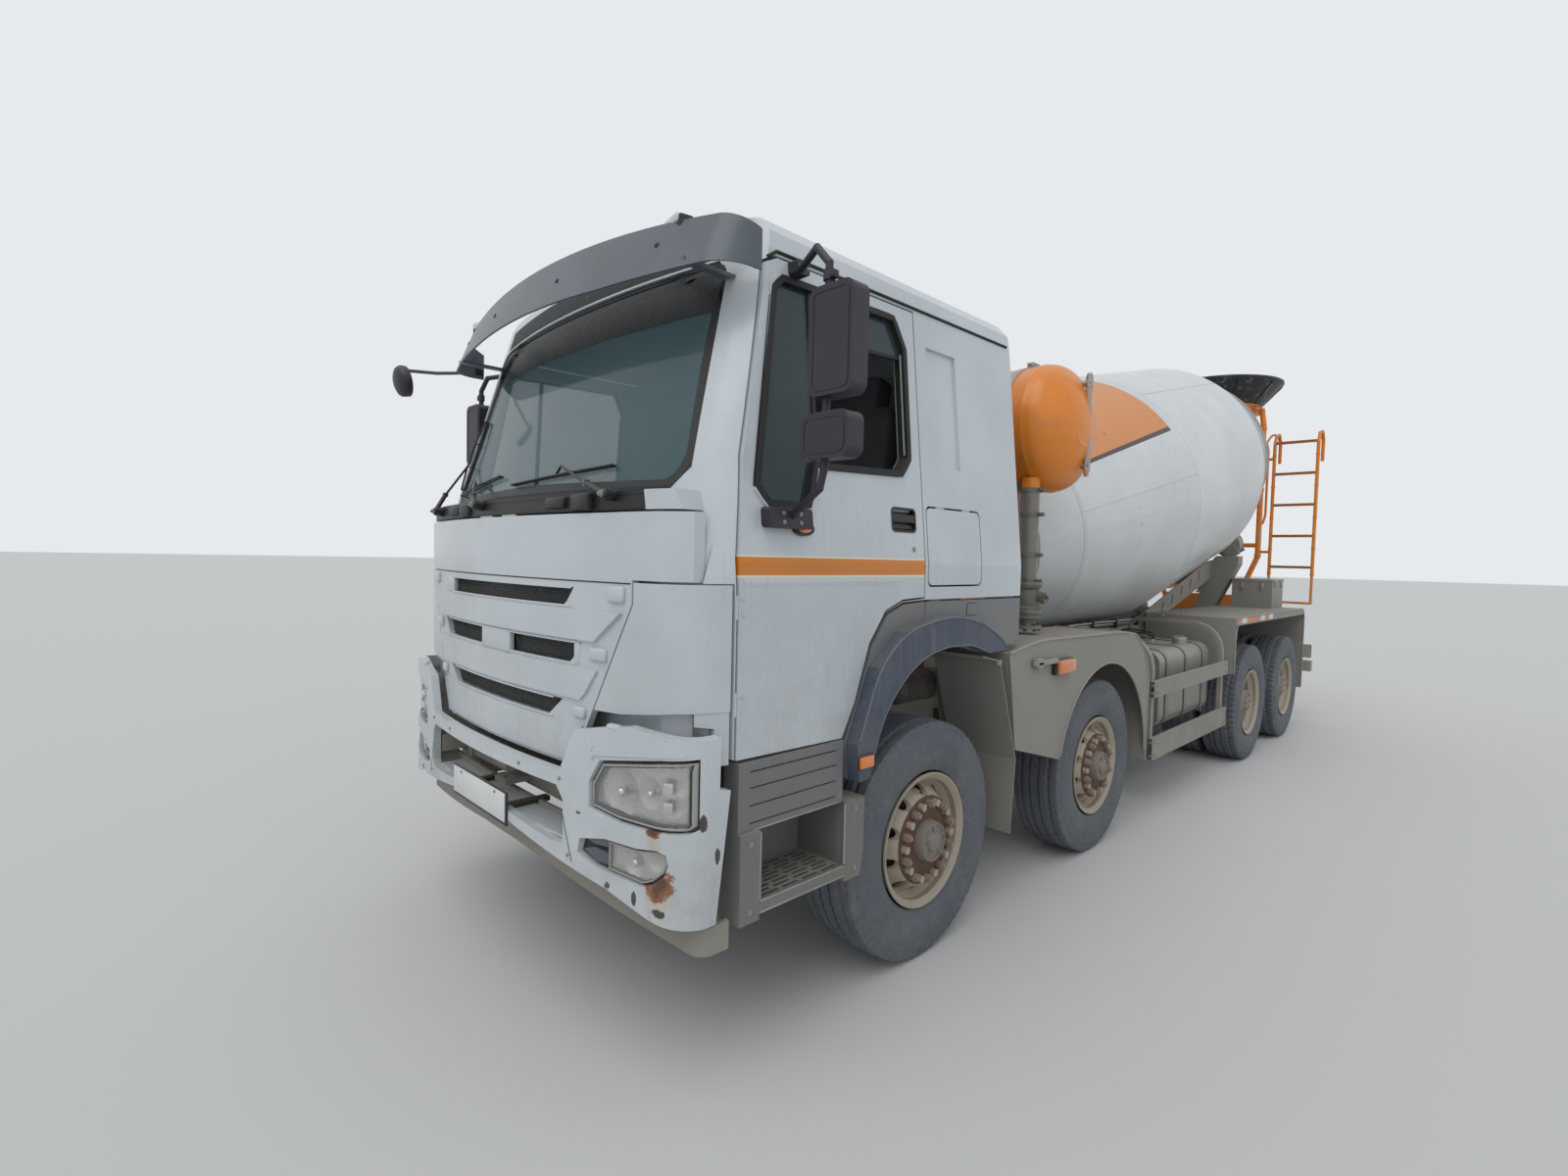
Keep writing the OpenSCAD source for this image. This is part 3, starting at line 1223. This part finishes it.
module rear_crossbar() {
    color([0.6, 0.59, 0.55]) {
        block([-1200, frame_end_y + 20, 560], [1200, frame_end_y + 120, 680]);
        both_sides() block([rail_x - 70, frame_end_y - 60, 600], [rail_x - 12, frame_end_y + 60, rail_low_z - seat_gap]);
        both_sides() {
            block([820, frame_end_y + 40, 720], [1180, frame_end_y + 110, 860]);
            block([960, frame_end_y + 50, 670], [1040, frame_end_y + 90, 730]);
        }
    }
}

module place() {
    translate([0, -truck_l / 2, 0]) children();
}

module tyre_1_left() {
    color(tyre_black) tyre(steer_face_x, axle1_y);
}
module tyre_1_right() {
    color(tyre_black) mirror([1, 0, 0]) tyre(steer_face_x, axle1_y);
}
module tyre_2_left() {
    color(tyre_black) tyre(steer_face_x, axle2_y);
}
module tyre_2_right() {
    color(tyre_black) mirror([1, 0, 0]) tyre(steer_face_x, axle2_y);
}
module tyre_3_left() {
    color(tyre_black) drive_tyres(axle3_y);
}
module tyre_3_right() {
    color(tyre_black) mirror([1, 0, 0]) drive_tyres(axle3_y);
}
module tyre_4_left() {
    color(tyre_black) drive_tyres(axle4_y);
}
module tyre_4_right() {
    color(tyre_black) mirror([1, 0, 0]) drive_tyres(axle4_y);
}
module rim_1_left() {
    color(rim_tan) steer_rim(axle1_y);
}
module rim_1_right() {
    color(rim_tan) mirror([1, 0, 0]) steer_rim(axle1_y);
}
module rim_2_left() {
    color(rim_tan) steer_rim(axle2_y);
}
module rim_2_right() {
    color(rim_tan) mirror([1, 0, 0]) steer_rim(axle2_y);
}
module rim_3_left() {
    color(rim_tan) drive_rim(axle3_y);
}
module rim_3_right() {
    color(rim_tan) mirror([1, 0, 0]) drive_rim(axle3_y);
}
module rim_4_left() {
    color(rim_tan) drive_rim(axle4_y);
}
module rim_4_right() {
    color(rim_tan) mirror([1, 0, 0]) drive_rim(axle4_y);
}

place() chassis_frame();
place() engine_block();
place() axles();
place() leaf_springs();
place() bumper();
place() bumper_valance();
place() front_lamps();
place() cab_shell();
place() wiper_panel();
place() corner_panels();
place() windscreen();
place() arch_trims();
place() sun_visor();
place() cab_interior();
place() entry_steps();
place() mudguards();
place() side_guards();
place() fuel_tank();
place() battery_box();
place() water_tank();
place() drum_stand();
place() drum_gearbox();
place() feed_hopper();
place() discharge_frame();
place() ladder();
place() rear_crossbar();
place() front_mask();
place() door_left();
place() door_right();
place() door_glass_left();
place() door_glass_right();
place() mirror_left();
place() mirror_right();
place() locker_lid_left();
place() locker_lid_right();
place() drum();
place() chute_swivel();
place() chute_main();
place() chute_extension();
place() knuckle_1_left();
place() knuckle_1_right();
place() knuckle_2_left();
place() knuckle_2_right();
place() tyre_1_left();
place() tyre_1_right();
place() tyre_2_left();
place() tyre_2_right();
place() tyre_3_left();
place() tyre_3_right();
place() tyre_4_left();
place() tyre_4_right();
place() rim_1_left();
place() rim_1_right();
place() rim_2_left();
place() rim_2_right();
place() rim_3_left();
place() rim_3_right();
place() rim_4_left();
place() rim_4_right();
